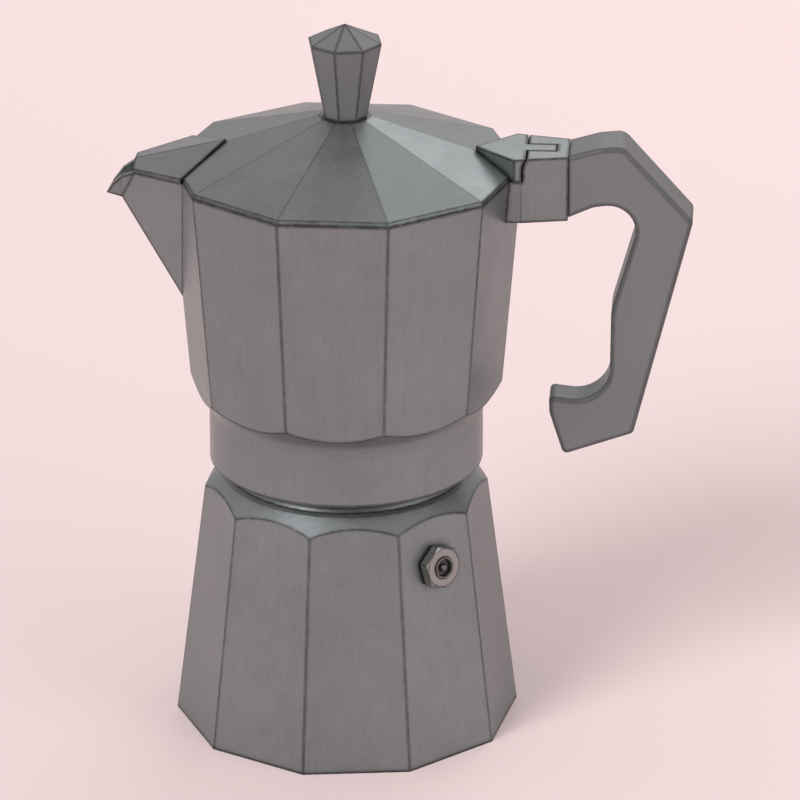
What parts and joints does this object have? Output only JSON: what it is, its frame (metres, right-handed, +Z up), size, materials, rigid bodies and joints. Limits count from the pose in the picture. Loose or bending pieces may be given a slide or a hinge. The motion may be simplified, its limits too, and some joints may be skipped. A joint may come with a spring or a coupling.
{
  "type": "moka pot",
  "caption": "Stove-top moka pot with faceted boiler, screw-on upper chamber with spout and angular side handle, and a hinged lid with a tapered knob.",
  "frame": {"origin": "centre of the boiler's underside, on the surface it stands on", "axes": "+Z up along the pot's axis, +X towards the handle, -X towards the spout, +Y away from the side with the safety valve"},
  "size_m": [0.1737, 0.1022, 0.2196],
  "materials": {
    "cast_aluminium": "satin",
    "spun_aluminium": "satin",
    "valve_metal": "satin",
    "insert_brass": "satin",
    "steel": "satin",
    "fibre": "matte",
    "seal_rubber": "matte",
    "grip_plastic": "matte"
  },
  "bodies": {
    "boiler": {"boiler": "cast_aluminium", "valve_body": "valve_metal", "valve_washer": "fibre", "valve_cap": "valve_metal", "valve_spring": "steel"},
    "valve_plunger": {"valve_plunger": "valve_metal"},
    "funnel": {"funnel": "spun_aluminium", "funnel_sieve": "spun_aluminium"},
    "gasket": {"gasket": "seal_rubber"},
    "filter_plate": {"filter_plate": "spun_aluminium"},
    "upper": {"upper_chamber": "cast_aluminium", "lid_hinge_pin": "steel", "handle": "grip_plastic", "handle_washer": "steel", "handle_screw": "steel"},
    "lid": {"lid": "cast_aluminium", "knob": "grip_plastic", "knob_insert": "insert_brass", "knob_washer": "steel", "knob_screw": "steel"}
  },
  "joints": [
    {"name": "valve_release", "type": "slide", "parent": "boiler", "child": "valve_plunger", "axis": [0.6825, -0.721, 0.1198], "range_m": [0, 0.0015], "stiffness_N_per_m": 700, "springref_m": -0.003, "deforming": ["valve_spring"]},
    {"name": "upper_lift_off", "type": "slide", "parent": "boiler", "child": "gasket", "axis": [0, 0, 1], "range_m": [0, 0.2]},
    {"name": "funnel_lift_out", "type": "slide", "parent": "boiler", "child": "funnel", "axis": [0, 0, 1], "range_m": [0, 0.092]},
    {"name": "thread_rise", "type": "slide", "parent": "gasket", "child": "filter_plate", "axis": [0, 0, 1], "range_m": [0, 0.009]},
    {"name": "upper_unscrew", "type": "hinge", "parent": "filter_plate", "child": "upper", "pos_m": [0, 0, 0.09], "axis": [0, 0, 1], "range_deg": [0, 1080]},
    {"name": "lid_hinge", "type": "hinge", "parent": "upper", "child": "lid", "pos_m": [0.058, 0, 0.179], "axis": [0, 1, 0], "range_deg": [0, 100]}
  ],
  "couplings": [
    {"joint": "funnel_lift_out", "follows": "upper_lift_off", "ratio": 0.46},
    {"joint": "thread_rise", "follows": "upper_unscrew", "m_per_rad": 0.00047746}
  ]
}
